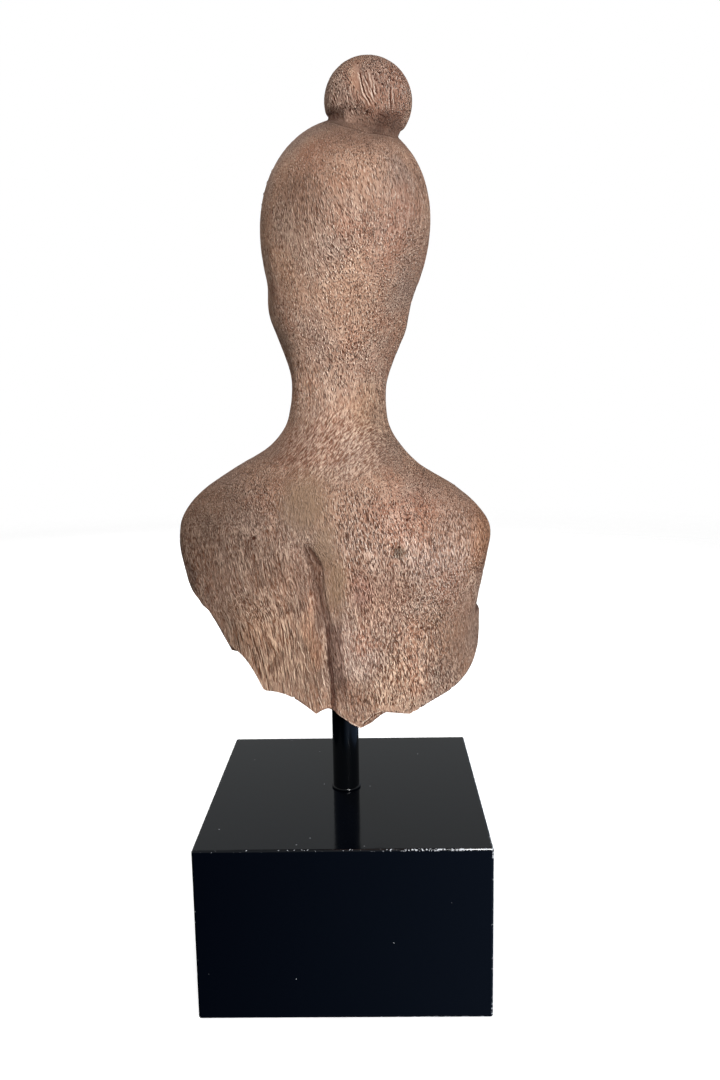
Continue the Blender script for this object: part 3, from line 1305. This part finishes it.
black_rod = lacquer_material("black_rod", colour(1, 2, 4), 0.16)
foot_at = (BLOCK_HEIGHT - ROD_IN_BLOCK) * MM
sizes = {
    "Foot": foot_at,
    "Length": ROD_TOP * MM - foot_at,
    "Radius": ROD_RADIUS * MM,
    "Fillet": ROD_FILLET * MM,
}
rod = standing_rod(black_rod).run("rod_bar", bpy.data.meshes.new("rod"), sizes)
smooth(rod)
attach(rod, "root")
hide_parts("mounting_rod")

# %% [markdown]
# ## The block
#
# A square block of board or wood under smooth black lacquer. Its edges are only just eased, and
# that narrow round catches the light as a thin line. It could be a bare cube with the bevel faked
# in the shader, but a real bevel shows in the outline and in the hand-on mesh.

# %% Block
def rubbed_edges(paint, place):
    """Pale specks where the lacquer is rubbed through along the edges."""
    x, y, z = (paint.part(place, axis) for axis in "XYZ")
    near_x, near_y = (BLOCK_SIDE / 2 - each.size() for each in (x, y))
    near_z = BLOCK_HEIGHT / 2 - (z - BLOCK_HEIGHT / 2).size()
    pairs = [near_x.most(near_y), near_y.most(near_z), near_z.most(near_x)]
    edge = pairs[0].math("MINIMUM", pairs[1]).math("MINIMUM", pairs[2]).ramp(0.75, 0.35)
    chips = paint.noise(place, 1.3, 1.0)
    more = x.ramp(-5, -26, 0.0, 0.16) * near_z.ramp(6, 2) * y.ramp(30, 45)
    return edge * (chips + more).ramp(0.68, 0.74)


def block_mesh():
    form = bmesh.new()
    bmesh.ops.create_cube(form, size=1)
    for vertex in form.verts:
        x, y, z = vertex.co
        vertex.co = Vector((x * BLOCK_SIDE, y * BLOCK_SIDE, (z + 0.5) * BLOCK_HEIGHT)) * MM
    eased = {"offset": BLOCK_EDGE * MM, "segments": 5, "profile": 0.5, "affect": "EDGES"}
    bmesh.ops.bevel(form, geom=form.edges[:], **eased)
    mesh = bpy.data.meshes.new("block")
    form.to_mesh(mesh)
    form.free()
    print("block:", len(mesh.polygons), "faces")
    return mesh


block = bpy.data.objects.new("block_body", block_mesh())
bpy.context.scene.collection.objects.link(block)
block.data.materials.append(lacquer_material("black_lacquer", colour(2, 4, 10), 0.1, rubbed_edges))
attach(block, "root")
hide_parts("display_block")

# %% [markdown]
# ## Floor and light
#
# The floor is pale and fades out into the white of the studio, so that no horizon cuts the
# picture. The key lamp stands behind the figure, over the camera's right shoulder. A second one
# is for the face, two weak ones light the sides, and a wide one hangs overhead. Lacquer is a
# mirror, so what it sees matters more than what lights it: those five and the floor are kept out
# of the reflections, and two small glints show there alone. The world is white to the camera,
# plain grey to the wood and a dark gradient to the lacquer. One ring of soft boxes would do for
# wood, but on lacquer each of them would show.

# %% Floor
FLOOR_RADIUS, FLOOR_CLEAR, FLOOR_DROP, FLOOR_SIDES = 1.5, 0.35, 0.0002, 64


def floor_piece():
    turns = np.linspace(0, math.tau, FLOOR_SIDES, False)
    ring = [(FLOOR_RADIUS * math.cos(a), FLOOR_RADIUS * math.sin(a), -FLOOR_DROP) for a in turns]
    mesh = bpy.data.meshes.new("floor")
    mesh.from_pydata(ring, [], [range(FLOOR_SIDES)])
    paint = Paint("pale_floor")
    shown = paint.length(paint.place()).ramp(FLOOR_RADIUS / MM, FLOOR_CLEAR / MM)
    glow = {"Emission_Color": (1, 1, 1, 1), "Emission_Strength": 0.5}
    mesh.materials.append(paint.finish(Base_Color=colour(240, 240, 240), Roughness=0.9, Alpha=shown, **glow))
    piece = bpy.data.objects.new("floor", mesh)
    bpy.context.scene.collection.objects.link(piece)
    piece.visible_glossy = piece.visible_diffuse = False
    return piece


floor_piece()

# %% Lights
AIM = Vector((0, 0, 0.18))
# Place, size and power in metres and watts, and whether the lamp shows in mirrors alone.
LAMPS = {
    "key": ((-0.34, 0.98, 0.42), 0.35, 14.5, False),
    "face_key": ((0.45, -0.95, 0.60), 0.35, 11.0, False),
    "side_fill_left": ((1.1, 0.1, 0.45), 0.5, 1.4, False),
    "side_fill_right": ((-1.1, 0.1, 0.45), 0.5, 1.8, False),
    "over": ((0, 0, 1.6), 1.4, 1.6, False),
    "glint": ((-0.25, 0.55, 0.95), 0.25, 7.0, True),
    "low_glint": ((-0.36, 0.78, 0.10), 0.16, 5.0, True),
}


def lamp(name, place, size, watts, in_mirror):
    """A soft round lamp aimed at the middle of the object."""
    light = bpy.data.lights.new(name, "AREA")
    light.shape, light.size, light.energy = "DISK", size, watts
    holder = bpy.data.objects.new(name, light)
    holder.location = place
    holder.rotation_mode = "QUATERNION"
    holder.rotation_quaternion = (AIM - Vector(place)).to_track_quat("-Z", "Y")
    holder.visible_glossy, holder.visible_diffuse = in_mirror, not in_mirror
    holder.visible_camera = False
    bpy.context.scene.collection.objects.link(holder)


for name, values in LAMPS.items():
    lamp(name, *values)
print("lamps:", ", ".join(LAMPS))


# %% Studio world
STUDIO_GREY, MIRROR_ABOVE = (0.17, 0.17, 0.17, 1), (0.30, 0.31, 0.31, 1)
MIRROR_DARK, MIRROR_BLUE = (0.003, 0.005, 0.010, 1), (0.17, 0.24, 0.38, 1)


def studio():
    paint = Paint("studio", bpy.data.worlds.new("studio"))
    bpy.context.scene.world = paint.owner
    at = paint.add("ShaderNodeTexCoord", out="Generated")
    side, height = (paint.part(at, axis) for axis in "XZ")
    low = paint.mix(side.ramp(0.32, -0.65), MIRROR_DARK, MIRROR_BLUE)
    mirrored = paint.mix(height.ramp(-0.1, 0.35), low, MIRROR_ABOVE)
    seen = {key: paint.add("ShaderNodeLightPath", out=f"Is {key} Ray") for key in ("Camera", "Glossy")}
    light = paint.mix(seen["Glossy"], STUDIO_GREY, mirrored)
    light = paint.mix(seen["Camera"], light, (1, 1, 1, 1))
    sky = paint.add("ShaderNodeBackground", {}, {"Color": light})
    paint.add("ShaderNodeOutputWorld", {}, {"Surface": sky})


studio()
